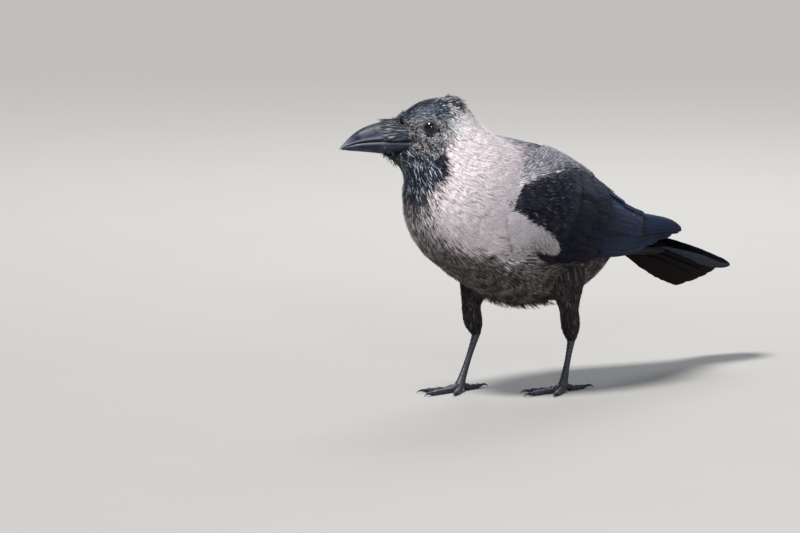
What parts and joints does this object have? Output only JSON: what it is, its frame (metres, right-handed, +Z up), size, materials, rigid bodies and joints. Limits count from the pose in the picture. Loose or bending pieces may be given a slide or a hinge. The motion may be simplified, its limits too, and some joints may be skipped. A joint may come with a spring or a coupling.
{
  "type": "house crow",
  "caption": "Life-size standing house crow with folded wings, one foot forward and its head turned to its right.",
  "frame": {"origin": "on the floor, under the middle of the bird's bounding box", "axes": "+X towards the tail, so that the body faces -X; -Y is the bird's left; +Z up"},
  "size_m": [0.366, 0.1208, 0.2227],
  "materials": {
    "black_feathers": "glossy black plumage with a blue and violet sheen",
    "grey_feathers": "soft matt mouse-grey plumage",
    "body_feathers": "soft matt brown-grey plumage",
    "bill": "dark horn, smooth with a soft shine",
    "eye": "wet dark brown",
    "leg": "dark scaled skin"
  },
  "bodies": {
    "root": {"head": "black_feathers", "neck": "grey_feathers", "torso": "body_feathers", "upper_bill": "bill", "lower_bill": "bill", "left_eye": "eye", "right_eye": "eye", "tail": "black_feathers", "left_wing": "black_feathers", "right_wing": "black_feathers", "left_thigh": "body_feathers", "left_tarsus": "leg", "left_foot": "leg", "left_inner_claw": "bill", "left_middle_claw": "bill", "left_outer_claw": "bill", "left_hind_claw": "bill", "right_thigh": "body_feathers", "right_tarsus": "leg", "right_foot": "leg", "right_inner_claw": "bill", "right_middle_claw": "bill", "right_outer_claw": "bill", "right_hind_claw": "bill"}
  },
  "joints": []
}
